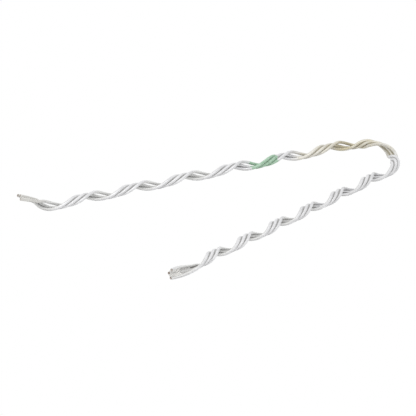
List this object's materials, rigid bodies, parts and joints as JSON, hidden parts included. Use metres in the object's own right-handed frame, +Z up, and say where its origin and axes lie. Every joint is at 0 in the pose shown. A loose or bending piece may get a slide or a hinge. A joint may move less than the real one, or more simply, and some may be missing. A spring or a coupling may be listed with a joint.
{
  "type": "preformed dead end grip",
  "caption": "Preformed helical wire grip bent into a loop; its open left-hand legs wrap round the end of a strand to anchor it.",
  "frame": {"origin": "middle of the outline in plan, on the bench that the grip lies on", "axes": "+X towards the loop, -X towards the free ends of the legs, +Y towards the longer leg, +Z up from the bench"},
  "size_m": [0.5136, 0.293, 0.0305],
  "materials": {
    "wire": "galvanised spring-steel wire, pale and half-matte, with a coloured paint band at the crossover on the longer leg"
  },
  "bodies": {
    "root": {"wire_1": "wire", "wire_2": "wire", "wire_3": "wire"}
  },
  "joints": []
}
